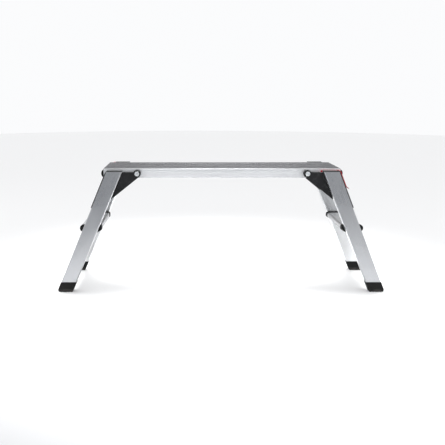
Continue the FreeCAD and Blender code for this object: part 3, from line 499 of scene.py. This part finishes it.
tread_finish = Finish("tread, ribbed satin anodised", Metallic=0.85)
tread_x, tread_y, tread_z = tread_finish.axes()
tread_rib = tread_finish.span(tread_z, CREST_FOOT, CREST_TOP)
tread_lay = tread_finish.vector(
    tread_x * TREAD_LINES_PER_METRE, tread_y * 3.0, tread_z * TREAD_LINES_PER_METRE
)
tread_lines = tread_finish.noise(1.0, 3.0, 0.6, tread_lay)
tread_scuff = tread_finish.noise(45.0, 5.0, 0.6)
tread_worn = tread_finish.span(tread_scuff * 0.6 + tread_lines * 0.4, 0.4, 0.62)
tread_body = tread_finish.blend(tread_worn, BODY_DULL, BODY_WORN)
tread_crest = tread_finish.blend(tread_worn, CREST_DULL, CREST_WORN)
tread_finish.feed(
    Base_Color=tread_finish.blend(tread_rib, tread_body, tread_crest),
    Roughness=tread_finish.span(tread_worn, 0.0, 1.0, 0.46, 0.34),
)
tread_finish.bump(tread_lines, TREAD_LINE_RISE, 0.5)
dress(("right_tread", "left_tread"), tread_finish, TREAD_EDGE, 1)

# ---------------------------------------------------------------- brace panels
# A folded steel sheet ties the two legs of each frame, with ears up the legs and a top flange for the stop
# pads. It has a satin black powder coat, finely pebbled.

PANEL_BLACK, PANEL_SCRATCH = (0.028, 0.0285, 0.031), colour(0.12, 0.12, 0.125)
PEBBLES_PER_METRE = 480.0
PEBBLE_RISE = 0.00009
SCRATCHES_PER_METRE = 1200.0
PANEL_EDGE = 0.0004


def powder_coat(name, tint, roughness, bare):
    """Baked powder coat with a pebbled skin and a few fine scratches, which show the bare colour."""
    finish = Finish(name)
    x, y, z = finish.axes()
    pebble = finish.noise(PEBBLES_PER_METRE, 2.0, 0.5)
    cloud = finish.noise(11.0, 4.0, 0.5)
    strokes = finish.noise(1.0, 2.0, 0.5, finish.vector(x * 40.0, y * 30.0, z * SCRATCHES_PER_METRE))
    scratch = finish.span(strokes, 0.70, 0.76, 0, 0.5)
    base = finish.blend(finish.span(cloud, 0.35, 0.65), colour(*tint, 0.88), colour(*tint, 1.12))
    finish.feed(
        Base_Color=finish.blend(scratch, base, bare),
        Roughness=finish.span(pebble * 0.5 + cloud * 0.5, 0.35, 0.65, roughness - 0.05, roughness + 0.08),
    )
    finish.bump(pebble, PEBBLE_RISE, 0.6)
    return finish


brace_finish = powder_coat("brace panel, black powder coat", PANEL_BLACK, roughness=0.42, bare=PANEL_SCRATCH)
dress(("right_brace_panel", "left_brace_panel"), brace_finish, PANEL_EDGE)

# ---------------------------------------------------------------- lock levers and their springs
# Pressed steel release levers, powder coated red, lie over the leg's outer edge and slide outward on two
# pins against a small coil spring. Each spring is drawn wire, wound with its end turns closed.

LEVER_RED, LEVER_SCRATCH = (0.33, 0.009, 0.016), colour(0.5, 0.12, 0.1)
WIRE_DARK, WIRE_BRIGHT = colour(0.26, 0.26, 0.27), colour(0.46, 0.46, 0.47)
WIRE_RADIUS = 0.00055
COIL_TURNS = 7.5
STEPS_PER_TURN = 28
DRAW_MARK_RISE = 0.00003
LEVER_EDGE = 0.0005

lever_finish = powder_coat("lock lever, red powder coat", LEVER_RED, roughness=0.33, bare=LEVER_SCRATCH)
dress(("right_lock_lever", "left_lock_lever"), lever_finish, LEVER_EDGE)

spring_finish = Finish("spring, drawn wire", Metallic=1.0)
wire_haze = spring_finish.noise(500.0, 4.0, 0.6)
spring_finish.feed(
    Base_Color=spring_finish.blend(spring_finish.span(wire_haze, 0.35, 0.65), WIRE_DARK, WIRE_BRIGHT),
    Roughness=spring_finish.span(wire_haze, 0.3, 0.7, 0.26, 0.42),
)
spring_finish.bump(wire_haze, DRAW_MARK_RISE, 0.5)


def coil_run(share, end_share, end_rise):
    """How far along the spring the wire has come, with close turns at both ends and open ones between."""
    if share < end_share:
        return share / end_share * end_rise
    if share > 1 - end_share:
        return 1 - (1 - share) / end_share * end_rise
    return end_rise + (share - end_share) / (1 - 2 * end_share) * (1 - 2 * end_rise)


for hand, end in ((1, "right"), (-1, "left")):
    low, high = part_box(end + "_lock_spring")
    middle = (low + high) / 2
    length = high.x - low.x - 2 * WIRE_RADIUS
    radius = (high.y - low.y) / 2 - WIRE_RADIUS
    wire_line = bpy.data.curves.new("wire_line", "CURVE")
    wire_line.dimensions = "3D"
    wire_line.bevel_depth = WIRE_RADIUS
    wire_line.bevel_resolution = 3
    wire_line.use_fill_caps = True
    turns = wire_line.splines.new("POLY")
    steps = int(COIL_TURNS * STEPS_PER_TURN)
    turns.points.add(steps)
    for step, point in enumerate(turns.points):
        share = step / steps
        angle = 2 * math.pi * COIL_TURNS * share
        along = low.x + WIRE_RADIUS + length * coil_run(share, 1 / COIL_TURNS, 2 * WIRE_RADIUS / length)
        point.co = (along, middle.y + radius * math.cos(angle), middle.z + radius * math.sin(angle), 1)
    wire_object = bpy.data.objects.new("wire_line", wire_line)
    bpy.context.collection.objects.link(wire_object)
    coil = bpy.data.meshes.new_from_object(wire_object.evaluated_get(bpy.context.evaluated_depsgraph_get()))
    bpy.data.objects.remove(wire_object)
    coil.polygons.foreach_set("use_smooth", [True] * len(coil.polygons))
    coil.materials.clear()
    coil.materials.append(spring_finish.material)
    spring = bpy.data.objects.new(end + "_return_spring", coil)
    bpy.context.collection.objects.link(spring)
    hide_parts(end + "_lock_spring")
    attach(spring, end + "_leg_frame")
    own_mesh(spring)
